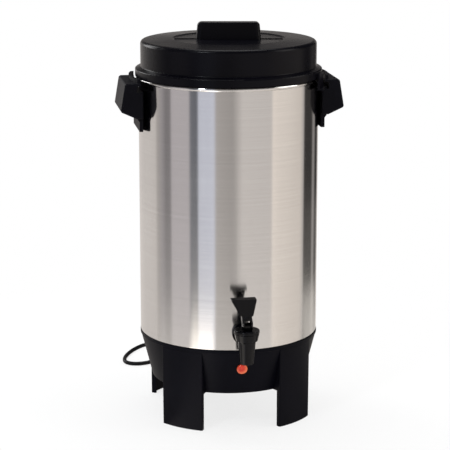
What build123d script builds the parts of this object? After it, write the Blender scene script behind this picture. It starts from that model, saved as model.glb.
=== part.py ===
from build123d import *
import math
import os

# Coffee urn: aluminium tank on a moulded base with four legs, two side handles, a locking lid,
# a lift-and-pour tap, a percolator pump with its basket, and the heaters and wiring in the base.
# Millimetres. The origin is on the tank's axis at the level of the feet. +Z is up, the tap
# points along -Y and the handles along +X and -X.

# ---------------------------------------------------------------- clearances
fixed_gap = 0.3        # between loose neighbours that never move against each other
running_gap = 0.06     # radial, shaft in bore
wiper_gap = 0.1        # radial, silicone wiper in its bore
slip_gap = 0.5         # radial, pieces that lift off by hand

# ---------------------------------------------------------------- tank
tank_r = 125.0
tank_wall = 1.2
tank_shoulder_z = 117.0    # the wall's lower end, seated on the base
tank_height = 362.0        # from there up to the rim
floor_drop = 13.0          # from there down to the underside of the floor
bead_r = 3.0               # rolled bead round the rim
foot_corner_r = 7.0
well_r = 29.0              # pump well in the floor
well_depth = 12.0
stud_r = 2.5
stud_inset = 21.0          # from the wall's face to the studs under the floor
stud_angles = (90, 210, 330)
stud_length = 14.0

# ---------------------------------------------------------------- base
base_wall = 3.0
base_bottom_z = 51.0
base_taper = 15.6          # how much the cone narrows downwards, on the radius
band_step = 0.4            # rounded band under the tank, beyond the tank's wall
band_height = 5.0
leg_step = 0.6             # legs stand out from the cone's top
leg_taper = 0.7
leg_width_deg = 30.4
leg_angles = (49, 131, 229, 311)
leg_return = 7.0           # depth of the side returns below the skirt
leg_edge_r = 1.2
flange_lap = 3.0           # flange edge inside the posts' axes
flange_thickness = 3.0
post_r = 5.0               # posts that carry the bottom cover
post_inset = 6.0           # from the base's wall to a post
post_angles = (0, 120, 240)
cover_thickness = 1.0
cover_rise = 1.5
cover_rim = 5.0
cover_slot_length = 26.0
cover_slot_width = 4.0
cover_slot_r = 55.0
cover_slot_count = 10
screw_r = 2.0
screw_length = 11.0
screw_head_r = 4.0
screw_head_height = 2.2
nut_af = 8.0
nut_height = 4.0

# ---------------------------------------------------------------- pilot lamp
lamp_drop = 28.0           # below the tank's shoulder
lamp_r = 7.4
lamp_dome = 3.0
lamp_barrel_r = 5.5
lamp_barrel_length = 13.0
lamp_bulb_r = 2.8
lamp_clip_r = 8.0
lamp_clip_thickness = 0.8

# ---------------------------------------------------------------- handles
# reaches are from the tank's wall outwards, drops are from its rim down
handle_width = 89.0
handle_wall = 3.5
handle_top_drop = 3.5
handle_top_reach = 23.5
handle_low_drop = 42.5
handle_low_reach = 30.0
handle_root_drop = 52.5
handle_root_reach = 8.0
handle_leg_drop = 71.0
handle_leg_reach = 3.8
handle_leg_inset = 6.5     # leg narrower than the grip, each side
handle_fillet = 2.5
lip_reach = 9.5            # inner face of the lip round the lid's brim
lip_thickness = 4.0
lip_rise = 2.0
channel_low_drop = 16.5    # channel that the lid's lugs turn into
channel_high_drop = 7.0
channel_reach = 15.0
handle_screw_drops = (29.0, 45.0)
handle_screw_r = 2.5
handle_screw_length = 10.0
handle_washer_r = 6.0
handle_boss_r = 5.5
handle_boss_length = 9.0

# ---------------------------------------------------------------- lid
lid_yaw = -9.0             # turn of the knob from the line through the handles
lid_wall = 2.8
drum_inset = 3.0
drum_height = 48.8         # from the rim to the drum's top
drum_shoulder_r = 4.8
brim_reach = 4.5
brim_height = 10.2
brim_slope = 2.6
dish_inset = 47.0          # from the drum's side to the dish
dish_sink = 1.2
dish_slope = 3.0
crown_rise = 2.0
locator_depth = 8.0
locator_thickness = 2.0
knob_length = 90.0
knob_top_length = 85.5
knob_width = 20.0
knob_top_width = 17.0
knob_height = 23.7
knob_corner_r = 6.5
knob_edge_r = 2.0
knob_end_gap = 0.2         # corner rounds start this far outside the knob's ends
lug_yaw = -18.0            # from the knob's axis to a lug
lug_width_deg = 8.0
lug_reach = 5.8
lug_thickness = 3.0
lug_foot = 5.0
lug_drop = 15.0

# ---------------------------------------------------------------- tap
# heights are from the shank's axis
tap_reach = 32.0           # from the tank's wall to the axis of the spout and stem
tap_rise = 26.0            # above the tank's shoulder
spout_tip_drop = 35.0
spout_tip_r = 9.4
spout_top_r = 12.1
spout_top_drop = 4.0
cup_low_r = 14.8
cup_low_drop = 2.0
cup_top_r = 17.2
cup_top_rise = 8.5
outlet_r = 5.5
seat_drop = 12.0
chamber_r = 9.0
cup_bore_r = 13.0
cup_bore_rise = 4.0
inlet_r = 3.8
shank_r = 8.0
shank_inside = 18.0
flange_r = 15.5
flange_tap_thickness = 3.0
gasket_thickness = 2.2
gasket_r = 14.0
tap_nut_af = 24.0
tap_nut_height = 6.0
bonnet_r = 17.4
bonnet_rise = 13.0
bonnet_roof = 1.6
stem_r = 3.0
stem_head_width = 8.6
stem_head_r = 4.5
pin_rise = 18.0
pin_r = 1.5
lever_lift = 4.0           # how far the lever raises the stem
lever_angle = 70.0         # over this much tilt
cam_gap = 0.15             # heel above the bonnet
ear_thickness = 2.0
lever_rise = 56.0
lever_top_width = 33.5
lever_bar = 4.0
lever_bar_depth = 13.0
lever_plate = 3.0
lever_web_rise = 26.5      # lower edge of the front plate

# ---------------------------------------------------------------- percolator
tube_r = 6.0
tube_wall = 0.8
tube_drop = 21.0           # top of the pump tube below the rim
bell_r = 25.5
bell_wall = 1.0
bell_skirt = 2.0
bell_height = 14.0
bell_neck_height = 10.0
bell_slots = 6
valve_seat_height = 4.0
valve_r = 11.0
valve_thickness = 1.0
valve_travel = 3.0
collar_drop = 133.0
collar_r = 10.0
collar_height = 4.0
basket_inset = 29.0        # from the tank's wall, all round
basket_height = 82.0
basket_wall = 0.8
basket_corner_r = 8.0
basket_sleeve_height = 84.0
basket_hole_r = 2.0
basket_hole_circles = (30.0, 55.0, 78.0)
basket_hole_counts = (8, 12, 16)
rim_roll_r = 1.8
spreader_lip = 5.0
spreader_hole_r = 1.7
spreader_hole_circles = (28.0, 50.0, 72.0)
spreader_hole_counts = (6, 10, 14)

# ---------------------------------------------------------------- heaters and wiring
well_heater_wall = 7.0
well_heater_height = 9.0
ring_heater_inset = 63.0
ring_heater_tube_r = 4.0
ring_heater_gap_deg = 50.0
terminal_length = 12.0
terminal_r = 1.6
thermostat_r = 8.5
thermostat_height = 7.0
thermostat_inset = 13.6    # from the flange's edge to the middle
thermostat_deg = 37.7
tab_length = 6.0
fuse_r = 2.5
fuse_length = 12.0
fuse_inset = 12.0
fuse_deg = 148.3
block_size = (30.0, 16.0, 12.0)
block_inset = 16.0
wire_r = 1.2

# ---------------------------------------------------------------- cord
cord_r = 3.0
cord_exit_rise = 19.0      # above the base's lower edge
relief_root_r = 7.0
relief_tip_r = 4.3
relief_length = 34.0
relief_flange_r = 9.5
plug_length = 34.0
plug_width = 28.0
plug_height = 27.0
blade_length = 17.0
blade_width = 6.3
blade_thickness = 1.5
blade_spacing = 12.7
ground_pin_r = 2.4
ground_pin_drop = 7.0
plug_neck = 9.0            # across the plug where the cord enters

# ---------------------------------------------------------------- sizes that follow
tank_inner_r = tank_r - tank_wall
tank_floor_z = tank_shoulder_z - floor_drop
tank_rim_z = tank_shoulder_z + tank_height
stud_circle_r = tank_r - stud_inset
base_top_r = tank_r - band_step
base_bottom_r = base_top_r - base_taper
band_r = tank_r + band_step
base_inner_r = base_top_r - base_wall
tank_foot_r = base_inner_r - slip_gap
band_low_z = tank_shoulder_z - band_height
leg_top_r = base_top_r + leg_step
leg_foot_r = leg_top_r - leg_taper
post_circle_r = base_bottom_r - base_wall - post_inset - post_r
flange_inner_r = post_circle_r - flange_lap
cover_z = base_bottom_z + cover_rise
well_z = tank_floor_z - well_depth
floor_top_z = tank_floor_z + tank_wall
well_top_z = well_z + tank_wall
flange_low_z = tank_floor_z - flange_thickness
base_slope = base_taper / (band_low_z - base_bottom_z)
lamp_z = tank_shoulder_z - lamp_drop
lamp_tilt = math.atan(base_slope)

handle_top_z = tank_rim_z - handle_top_drop
handle_top_x = tank_r + handle_top_reach
handle_low_z = tank_rim_z - handle_low_drop
handle_low_x = tank_r + handle_low_reach
handle_root_z = tank_rim_z - handle_root_drop
handle_root_x = tank_r + handle_root_reach
handle_leg_z = tank_rim_z - handle_leg_drop
handle_leg_x = tank_r + handle_leg_reach
handle_leg_width = handle_width - 2 * handle_leg_inset
lip_r = tank_r + lip_reach
lip_z = tank_rim_z + lip_rise
channel_low_z = tank_rim_z - channel_low_drop
channel_high_z = tank_rim_z - channel_high_drop
channel_r = tank_r + channel_reach
handle_screw_zs = [tank_rim_z - drop for drop in handle_screw_drops]

drum_r = tank_r - drum_inset
drum_top_z = tank_rim_z + drum_height
brim_r = tank_r + brim_reach
brim_low_z = tank_rim_z + fixed_gap
brim_high_z = brim_low_z + brim_height
crown_z = drum_top_z + crown_rise
dish_r = drum_r - dish_inset
dish_z = crown_z - dish_sink
locator_r = tank_r - bead_r - slip_gap
knob_top_z = dish_z + knob_height
lug_leg_r = tank_r + lug_reach
lug_low_z = tank_rim_z - lug_drop

tap_y = -tank_r - tap_reach
tap_z = tank_shoulder_z + tap_rise
spout_tip_z = tap_z - spout_tip_drop
spout_top_z = tap_z - spout_top_drop
cup_low_z = tap_z - cup_low_drop
cup_top_z = tap_z + cup_top_rise
seat_z = tap_z - seat_drop
cup_bore_z = tap_z + cup_bore_rise
shank_end_y = shank_inside - tank_r
bonnet_top_z = tap_z + bonnet_rise
pin_z = tap_z + pin_rise
lever_top_z = tap_z + lever_rise
lever_web_z = tap_z + lever_web_rise
cam_rise = lever_lift / math.radians(lever_angle)
cam_height = pin_z - bonnet_top_z - cam_gap
cup_outside_y = -tank_r - gasket_thickness

bell_z = well_top_z + fixed_gap
tube_top_z = tank_rim_z - tube_drop
collar_z = tank_rim_z - collar_drop
collar_top_z = collar_z + collar_height
basket_r = tank_r - basket_inset
basket_z = collar_top_z + fixed_gap
basket_top_z = basket_z + basket_height
ring_heater_r = tank_r - ring_heater_inset
cord_exit_z = base_bottom_z + cord_exit_rise


def base_radius(z):
    """Outer radius of the base's cone at a height."""
    return base_bottom_r + (z - base_bottom_z) * base_slope


def on_circle(radius, angles):
    """Points on a circle round the axis."""
    return [(radius * math.cos(math.radians(a)), radius * math.sin(math.radians(a))) for a in angles]


def ring_sectors(inner_r, outer_r, middles, width_deg):
    """Sketch of equal sectors of a ring."""
    with BuildSketch() as sectors:
        for middle in middles:
            with BuildLine():
                outer = CenterArc((0, 0), outer_r, middle - width_deg / 2, width_deg)
                inner = CenterArc((0, 0), inner_r, middle - width_deg / 2, width_deg)
                Line(outer @ 0, inner @ 0)
                Line(outer @ 1, inner @ 1)
            make_face()
    return sectors.sketch


# ================================================================ tank
with BuildPart() as tank:
    with BuildSketch(Plane.XZ):
        with BuildLine():
            FilletPolyline(
                (0, well_z),
                (well_r, well_z),
                (well_r, tank_floor_z),
                (tank_foot_r, tank_floor_z),
                (tank_foot_r, tank_shoulder_z),
                (tank_r, tank_shoulder_z),
                (tank_r, tank_rim_z - bead_r),
                radius=[4, 2, foot_corner_r, 0.4, 1.6],
            )
            offset(amount=tank_wall, side=Side.LEFT)
        make_face()
    revolve(axis=Axis.Z)
    with BuildSketch(Plane.XZ):
        with Locations((tank_r, tank_rim_z - bead_r)):
            Circle(bead_r)
    revolve(axis=Axis.Z)
    # studs welded under the floor
    with BuildSketch(Plane.XY.offset(tank_floor_z - stud_length)):
        with Locations(*on_circle(stud_circle_r, stud_angles)):
            Circle(stud_r)
    extrude(amount=stud_length)
    # hole for the tap's shank
    with BuildSketch(Plane.XZ.offset(tank_r - foot_corner_r)):
        with Locations((0, tap_z)):
            Circle(shank_r + fixed_gap)
    extrude(amount=2 * foot_corner_r, mode=Mode.SUBTRACT)
    # holes for the handle screws, through both sides
    with BuildSketch(Plane.YZ):
        with Locations(*[(0, z) for z in handle_screw_zs]):
            Circle(handle_screw_r + fixed_gap)
    extrude(amount=tank_r + bead_r, both=True, mode=Mode.SUBTRACT)

# ================================================================ base
leg_inner_limit = post_circle_r + post_r + 1

leg_sectors = ring_sectors(leg_inner_limit, leg_top_r + 1, leg_angles, leg_width_deg)
with BuildPart() as legs:
    with BuildSketch():
        add(leg_sectors)
    extrude(amount=band_low_z)
    with BuildSketch(Plane.XZ):
        with BuildLine():
            Polyline(
                (leg_foot_r - leg_return, 0),
                (leg_foot_r, 0),
                (leg_top_r, band_low_z),
                (leg_inner_limit, band_low_z),
                (leg_inner_limit, base_bottom_z),
                (leg_foot_r - leg_return, base_bottom_z),
                close=True,
            )
        make_face()
    revolve(axis=Axis.Z, mode=Mode.INTERSECT)
    upright_edges = [e for e in legs.edges() if abs((e % 0.5).Z) > 0.9]
    outer_limit = (leg_foot_r + leg_top_r - leg_return) / 2
    outer_edges = [e for e in upright_edges if math.hypot((e @ 0.5).X, (e @ 0.5).Y) > outer_limit]
    fillet(outer_edges, radius=leg_edge_r)

wall_deg = math.degrees(2 * base_wall / leg_foot_r)
hollow_sectors = ring_sectors(leg_inner_limit - 1, leg_top_r, leg_angles, leg_width_deg - wall_deg)
with BuildPart() as leg_hollows:
    with BuildSketch(Plane.XY.offset(-1)):
        add(hollow_sectors)
    extrude(amount=flange_low_z + 1)
    with BuildSketch(Plane.XZ):
        with BuildLine():
            Polyline(
                (0, -1),
                (leg_foot_r - base_wall, -1),
                (leg_top_r - base_wall, band_low_z),
                (0, band_low_z),
                close=True,
            )
        make_face()
    revolve(axis=Axis.Z, mode=Mode.INTERSECT)

with BuildPart() as base:
    with BuildSketch(Plane.XZ):
        with BuildLine():
            FilletPolyline(
                (0, base_bottom_z),
                (base_bottom_r, base_bottom_z),
                (base_top_r, band_low_z),
                (band_r, band_low_z + 0.5),
                (band_r, tank_shoulder_z),
                (0, tank_shoulder_z),
                radius=[1.0, 0.3, 0.3, 1.2],
            )
            Line((0, tank_shoulder_z), (0, base_bottom_z))
        make_face()
    revolve(axis=Axis.Z)
    add(legs.part)
    # room inside the cone
    with BuildSketch(Plane.XZ):
        with BuildLine():
            Polyline(
                (0, base_bottom_z - 1),
                (base_bottom_r - base_wall, base_bottom_z - 1),
                (base_bottom_r - base_wall, base_bottom_z),
                (base_inner_r, band_low_z),
                (base_inner_r, tank_shoulder_z + 1),
                (0, tank_shoulder_z + 1),
                close=True,
            )
        make_face()
    revolve(axis=Axis.Z, mode=Mode.SUBTRACT)
    add(leg_hollows.part, mode=Mode.SUBTRACT)
    # flange that the tank's studs pass through
    with BuildSketch(Plane.XY.offset(flange_low_z)):
        Circle(base_radius(flange_low_z) - base_wall / 2)
        Circle(flange_inner_r, mode=Mode.SUBTRACT)
        with Locations(*on_circle(stud_circle_r, stud_angles)):
            Circle(stud_r + fixed_gap, mode=Mode.SUBTRACT)
    extrude(amount=flange_thickness)
    # posts for the bottom cover
    with BuildSketch(Plane.XY.offset(cover_z + cover_thickness)):
        with Locations(*on_circle(post_circle_r, post_angles)):
            Circle(post_r)
    extrude(amount=flange_low_z - cover_z - cover_thickness)
    with BuildSketch(Plane.XY.offset(cover_z)):
        with Locations(*on_circle(post_circle_r, post_angles)):
            Circle(screw_r + running_gap)
    extrude(amount=screw_length + 1 + cover_thickness, mode=Mode.SUBTRACT)
    # hole for the cord's strain relief, at the back
    with BuildSketch(Plane.XZ.offset(-base_bottom_r + base_wall)):
        with Locations((0, cord_exit_z)):
            Circle(relief_root_r + fixed_gap)
    extrude(amount=-3 * base_wall - 4, mode=Mode.SUBTRACT)
    # hole for the pilot lamp, square to the sloping front
    lamp_plane = Plane(
        origin=(0, -base_radius(lamp_z), lamp_z),
        x_dir=(1, 0, 0),
        z_dir=(0, -math.cos(lamp_tilt), -math.sin(lamp_tilt)),
    )
    with BuildSketch(lamp_plane.offset(-2 * base_wall)):
        Circle(lamp_barrel_r + fixed_gap / 2)
    extrude(amount=3 * base_wall, mode=Mode.SUBTRACT)

# nuts under the flange
with BuildPart() as base_nuts:
    with BuildSketch(Plane.XY.offset(flange_low_z - nut_height)):
        with Locations(*on_circle(stud_circle_r, stud_angles)):
            RegularPolygon(nut_af / 2, 6, major_radius=False)
            Circle(stud_r + running_gap, mode=Mode.SUBTRACT)
    extrude(amount=nut_height)

# sheet-metal cover under the heaters
with BuildPart() as bottom_cover:
    cover_r = base_bottom_r - base_wall - fixed_gap
    with BuildSketch(Plane.XZ):
        with BuildLine():
            FilletPolyline((0, cover_z), (cover_r, cover_z), (cover_r, cover_z + cover_rim), radius=[2])
            offset(amount=cover_thickness, side=Side.LEFT)
        make_face()
    revolve(axis=Axis.Z)
    with BuildSketch(Plane.XY.offset(cover_z)):
        with Locations(*on_circle(post_circle_r, post_angles)):
            Circle(screw_r + fixed_gap)
        with PolarLocations(cover_slot_r, cover_slot_count):
            SlotOverall(cover_slot_length, cover_slot_width)
    extrude(amount=cover_thickness, mode=Mode.SUBTRACT)

with BuildPart() as cover_screws:
    for point in on_circle(post_circle_r, post_angles):
        with BuildSketch(Plane.XY.offset(cover_z - screw_head_height)):
            with Locations(point):
                Circle(screw_head_r)
        extrude(amount=screw_head_height)
        with BuildSketch(Plane.XY.offset(cover_z)):
            with Locations(point):
                Circle(screw_r)
        extrude(amount=screw_length)

# ================================================================ pilot lamp
with BuildPart() as lamp_lens:
    with BuildSketch(lamp_plane.offset(fixed_gap / 3)):
        Circle(lamp_r)
    extrude(amount=lamp_dome)
    fillet(lamp_lens.edges().sort_by(SortBy.DISTANCE)[-1:], radius=lamp_dome * 0.85)
    with BuildSketch(lamp_plane.offset(fixed_gap / 3)):
        Circle(lamp_barrel_r)
    extrude(amount=-lamp_barrel_length)
    with BuildSketch(lamp_plane.offset(fixed_gap / 3 - lamp_barrel_length)):
        Circle(lamp_bulb_r + fixed_gap)
    extrude(amount=lamp_barrel_length - 2, mode=Mode.SUBTRACT)

with BuildPart() as lamp_bulb:
    with BuildSketch(lamp_plane.offset(-lamp_barrel_length - 2)):
        Circle(lamp_bulb_r)
    extrude(amount=lamp_barrel_length - 1)
    fillet(lamp_bulb.edges().sort_by(Axis.Y)[0], radius=lamp_bulb_r * 0.6)

with BuildPart() as lamp_clip:
    with BuildSketch(lamp_plane.offset(-base_wall - lamp_clip_thickness - 2 * fixed_gap)):
        Circle(lamp_clip_r)
        Circle(lamp_barrel_r + running_gap, mode=Mode.SUBTRACT)
    extrude(amount=lamp_clip_thickness)

# ================================================================ handles
with BuildPart() as handle_right:
    with BuildSketch(Plane.XZ.offset(-handle_width / 2)):
        with BuildLine():
            outline = FilletPolyline(
                (tank_inner_r, handle_top_z),
                (handle_top_x, handle_top_z),
                (handle_low_x, handle_low_z),
                (handle_root_x, handle_root_z),
                (tank_inner_r, handle_root_z),
                radius=[4, 3.5, 1],
            )
            Line(outline @ 1, outline @ 0)
        make_face()
    extrude(amount=handle_width)
    fillet(handle_right.faces().filter_by(Axis.Y).edges(), radius=handle_fillet)
    # leg below the grip
    with BuildSketch(Plane.XZ.offset(-handle_leg_width / 2)):
        with BuildLine():
            Polyline(
                (tank_inner_r, handle_leg_z),
                (handle_leg_x, handle_leg_z),
                (handle_leg_x, handle_root_z - 5),
                (handle_root_x, handle_root_z),
                (handle_root_x, handle_root_z + 4),
                (tank_inner_r, handle_root_z + 4),
                close=True,
            )
        make_face()
    extrude(amount=handle_leg_width)
    # lip round the lid's brim
    with BuildSketch(Plane.XY.offset(channel_high_z)):
        Circle(lip_r + lip_thickness)
        Circle(lip_r, mode=Mode.SUBTRACT)
        with Locations((tank_r, 0)):
            Rectangle(tank_r, handle_width - 2 * handle_fillet, mode=Mode.INTERSECT)
    extrude(amount=lip_z - channel_high_z)
    # room for the lid's lugs: open at the top, undercut outwards
    with BuildSketch(Plane.XY.offset(channel_low_z)):
        Circle(lip_r)
    extrude(amount=lip_z - channel_low_z + 1, mode=Mode.SUBTRACT)
    with BuildSketch(Plane.XY.offset(channel_low_z)):
        Circle(channel_r)
    extrude(amount=channel_high_z - channel_low_z, mode=Mode.SUBTRACT)
    # finger pocket, open below
    grip_x = handle_leg_x + 0.4
    roof_z = channel_low_z - handle_wall
    with BuildSketch(Plane.XZ.offset(-handle_width / 2 + handle_wall)):
        with BuildLine():
            Polyline(
                (grip_x, handle_root_z + 5),
                (grip_x, roof_z),
                (handle_low_x - handle_wall - 4.2, roof_z),
                (handle_low_x - handle_wall - 0.6, handle_low_z + 4),
                (handle_low_x - handle_wall - 0.6, handle_root_z - 6),
                (handle_root_x + 0.5, handle_root_z - 6),
                close=True,
            )
        make_face()
    extrude(amount=handle_width - 2 * handle_wall, mode=Mode.SUBTRACT)
    # bosses for the screws
    with BuildSketch(Plane.YZ.offset(tank_r)):
        with Locations(*[(0, z) for z in handle_screw_zs]):
            Circle(handle_boss_r)
    extrude(amount=grip_x - tank_r + handle_boss_length - 1)
    with BuildSketch(Plane.YZ.offset(tank_r)):
        with Locations(*[(0, z) for z in handle_screw_zs]):
            Circle(handle_screw_r + running_gap)
    extrude(amount=handle_screw_length, mode=Mode.SUBTRACT)
    # seat on the tank
    with BuildSketch(Plane.XY.offset(handle_leg_z - 1)):
        Circle(tank_r + fixed_gap / 2)
    extrude(amount=lip_z - handle_leg_z, mode=Mode.SUBTRACT)

with BuildPart() as handle_left:
    add(handle_right.part.rotate(Axis.Z, 180))

washer_x = tank_inner_r - 0.4
with BuildPart() as handle_washers:
    for side in (1, -1):
        with BuildSketch(Plane.YZ.offset(side * washer_x)):
            with Locations(*[(0, z) for z in handle_screw_zs]):
                Circle(handle_washer_r)
                Circle(handle_screw_r + running_gap, mode=Mode.SUBTRACT)
        extrude(amount=-side * 1.2)

with BuildPart() as handle_screws:
    for side in (1, -1):
        with BuildSketch(Plane.YZ.offset(side * (washer_x - 1.2))):
            with Locations(*[(0, z) for z in handle_screw_zs]):
                Circle(1.8 * handle_screw_r)
        extrude(amount=-side * 2.6)
        with BuildSketch(Plane.YZ.offset(side * (washer_x - 1.2))):
            with Locations(*[(0, z) for z in handle_screw_zs]):
                Circle(handle_screw_r)
        extrude(amount=side * handle_screw_length)

# ================================================================ lid
knob_axis = (math.cos(math.radians(lid_yaw)), math.sin(math.radians(lid_yaw)), 0)
lid_base = Plane(origin=(0, 0, 0), x_dir=knob_axis, z_dir=(0, 0, 1))
lug_angles = (lid_yaw + lug_yaw, lid_yaw + lug_yaw + 180)
lug_outer_r = lug_leg_r + lug_thickness
lug_arms = ring_sectors(brim_r - lid_wall / 2, lug_outer_r, lug_angles, lug_width_deg)
lug_legs = ring_sectors(lug_leg_r, lug_outer_r, lug_angles, lug_width_deg)
lug_feet = ring_sectors(lug_leg_r, lug_outer_r + lug_foot, lug_angles, lug_width_deg)

# bar knob, rounded at its corners in plan and from the side
knob_low_z = dish_z - 0.5
with BuildPart() as knob:
    with BuildSketch(lid_base.offset(knob_low_z)):
        RectangleRounded(knob_length, knob_width, knob_corner_r)
    with BuildSketch(lid_base.offset(knob_top_z)):
        RectangleRounded(knob_top_length, knob_top_width, knob_corner_r)
    loft()
    with BuildSketch(Plane(origin=(0, 0, 0), x_dir=knob_axis, z_dir=(knob_axis[1], -knob_axis[0], 0))):
        with BuildLine():
            side_view = FilletPolyline(
                (-knob_length / 2 - knob_end_gap, knob_low_z),
                (-knob_top_length / 2 - knob_end_gap, knob_top_z),
                (knob_top_length / 2 + knob_end_gap, knob_top_z),
                (knob_length / 2 + knob_end_gap, knob_low_z),
                radius=[knob_corner_r, knob_corner_r],
            )
            Line(side_view @ 1, side_view @ 0)
        make_face()
    extrude(amount=knob_width, both=True, mode=Mode.INTERSECT)
    upper_edges = [e for e in knob.edges() if (e @ 0.5).Z > knob_top_z - knob_corner_r]
    fillet([e for e in upper_edges if e.geom_type != GeomType.LINE or e.length > knob_width], radius=knob_edge_r)

with BuildPart() as lid:
    with BuildSketch(Plane.XZ):
        with BuildLine():
            FilletPolyline(
                (0, dish_z),
                (dish_r, dish_z),
                (dish_r + dish_slope, crown_z),
                (drum_r, drum_top_z),
                (drum_r, brim_high_z + brim_slope),
                (brim_r, brim_high_z),
                (brim_r, brim_low_z),
                radius=[2, 2, drum_shoulder_r, 1.5, 1.8],
            )
            offset(amount=lid_wall, side=Side.RIGHT)
        make_face()
    revolve(axis=Axis.Z)
    # seat on the rolled bead, with the ring that centres the lid in the tank
    with BuildSketch(Plane.XZ):
        with BuildLine():
            Polyline(
                (locator_r - locator_thickness, brim_low_z - locator_depth),
                (locator_r, brim_low_z - locator_depth),
                (locator_r, brim_low_z),
                (brim_r - lid_wall / 2, brim_low_z),
                (brim_r - lid_wall / 2, brim_low_z + lid_wall),
                (drum_r - lid_wall, brim_low_z + lid_wall),
                (drum_r - lid_wall, brim_low_z + 1),
                (locator_r - locator_thickness, brim_low_z - 1),
                close=True,
            )
        make_face()
    revolve(axis=Axis.Z)
    add(knob.part)
    # hollow under the knob
    with BuildSketch(lid_base.offset(dish_z - lid_wall - 0.1)):
        RectangleRounded(knob_length - 2 * lid_wall, knob_width - 2 * lid_wall, knob_corner_r - lid_wall)
    with BuildSketch(lid_base.offset(knob_top_z - lid_wall)):
        RectangleRounded(
            knob_top_length - 2 * lid_wall, knob_top_width - 2 * lid_wall, knob_corner_r - lid_wall
        )
    loft(mode=Mode.SUBTRACT)
    # low rib across the dish, in line with the knob
    with BuildSketch(lid_base.offset(dish_z - 0.5)):
        Rectangle(2 * dish_r, 3)
        RectangleRounded(knob_length - 2, knob_width - 6, 4, mode=Mode.SUBTRACT)
    extrude(amount=1.4)
    # lugs that lock under the handles: arm, leg and foot
    with BuildSketch(Plane.XY.offset(brim_low_z + 1)):
        add(lug_arms)
    extrude(amount=6)
    with BuildSketch(Plane.XY.offset(lug_low_z)):
        add(lug_legs)
    extrude(amount=brim_low_z + 7 - lug_low_z)
    with BuildSketch(Plane.XY.offset(lug_low_z)):
        add(lug_feet)
    extrude(amount=lug_thickness)

# ================================================================ tap
tap_section = Plane(origin=(0, tap_y, 0), x_dir=(1, 0, 0), z_dir=(0, -1, 0))
tap_axis = Axis((0, tap_y, 0), (0, 0, 1))
shank_plane = Plane(origin=(0, 0, tap_z), x_dir=(1, 0, 0), z_dir=(0, -1, 0))

with BuildPart() as faucet_body:
    with BuildSketch(tap_section):
        with BuildLine():
            FilletPolyline(
                (outlet_r, seat_z),
                (outlet_r, spout_tip_z),
                (spout_tip_r, spout_tip_z),
                (spout_top_r, spout_top_z),
                (cup_low_r, cup_low_z),
                (cup_top_r, cup_top_z),
                (cup_bore_r, cup_top_z),
                (cup_bore_r, cup_bore_z),
                (chamber_r, cup_bore_z),
                (chamber_r, seat_z),
                radius=[0.6, 1.2, 1.5, 1.2, 0.8, 0.3, 0.3, 0.3],
            )
            Line((chamber_r, seat_z), (outlet_r, seat_z))
        make_face()
    revolve(axis=tap_axis)
    # shank through the tank wall, neck and wall flange
    with BuildSketch(shank_plane.offset(-shank_end_y)):
        Circle(shank_r)
    extrude(amount=shank_end_y - tap_y - chamber_r - 1)
    with BuildSketch(Plane.XY.offset(cup_bore_z)):
        with Locations((0, tap_y)):
            Circle(cup_bore_r)
    extrude(amount=cup_top_z - cup_bore_z, mode=Mode.SUBTRACT)
    with BuildSketch(shank_plane.offset(-cup_outside_y)):
        Circle(flange_r)
    extrude(amount=flange_tap_thickness)
    with BuildSketch(shank_plane.offset(-shank_end_y - 1)):
        Circle(inlet_r)
    extrude(amount=shank_end_y - tap_y + 1, mode=Mode.SUBTRACT)

with BuildPart() as faucet_gasket_outer:
    with BuildSketch(shank_plane.offset(tank_inner_r)):
        Circle(gasket_r)
        Circle(shank_r + running_gap, mode=Mode.SUBTRACT)
    extrude(amount=-cup_outside_y - tank_inner_r)
    with BuildSketch(Plane.XY.offset(tap_z - gasket_r - 1)):
        Circle(tank_r)
    extrude(amount=2 * gasket_r + 2, mode=Mode.SUBTRACT)

inner_gasket_y = tank_inner_r - 3
with BuildPart() as faucet_gasket_inner:
    with BuildSketch(shank_plane.offset(inner_gasket_y)):
        Circle(gasket_r)
        Circle(shank_r + running_gap, mode=Mode.SUBTRACT)
    extrude(amount=3)
    with BuildSketch(Plane.XY.offset(tap_z - gasket_r - 1)):
        Circle(tank_inner_r)
    extrude(amount=2 * gasket_r + 2, mode=Mode.INTERSECT)

with BuildPart() as faucet_nut:
    with BuildSketch(shank_plane.offset(inner_gasket_y - tap_nut_height)):
        RegularPolygon(tap_nut_af / 2, 6, major_radius=False)
        Circle(shank_r + running_gap, mode=Mode.SUBTRACT)
    extrude(amount=tap_nut_height)

cavity_top_z = bonnet_top_z - bonnet_roof
with BuildPart() as faucet_bonnet:
    with BuildSketch(tap_section):
        with BuildLine():
            FilletPolyline(
                (stem_r + running_gap, cavity_top_z),
                (stem_r + running_gap, bonnet_top_z),
                (bonnet_r, bonnet_top_z),
                (bonnet_r, cup_top_z),
                (cup_bore_r - running_gap, cup_top_z),
                (cup_bore_r - running_gap, cup_bore_z + 0.2),
                (chamber_r + wiper_gap, cup_bore_z + 0.2),
                (chamber_r + wiper_gap, cavity_top_z),
                radius=[0.3, 1.4, 0.8, 0, 0.3, 0.2],
            )
            Line((chamber_r + wiper_gap, cavity_top_z), (stem_r + running_gap, cavity_top_z))
        make_face()
    revolve(axis=tap_axis)

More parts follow.
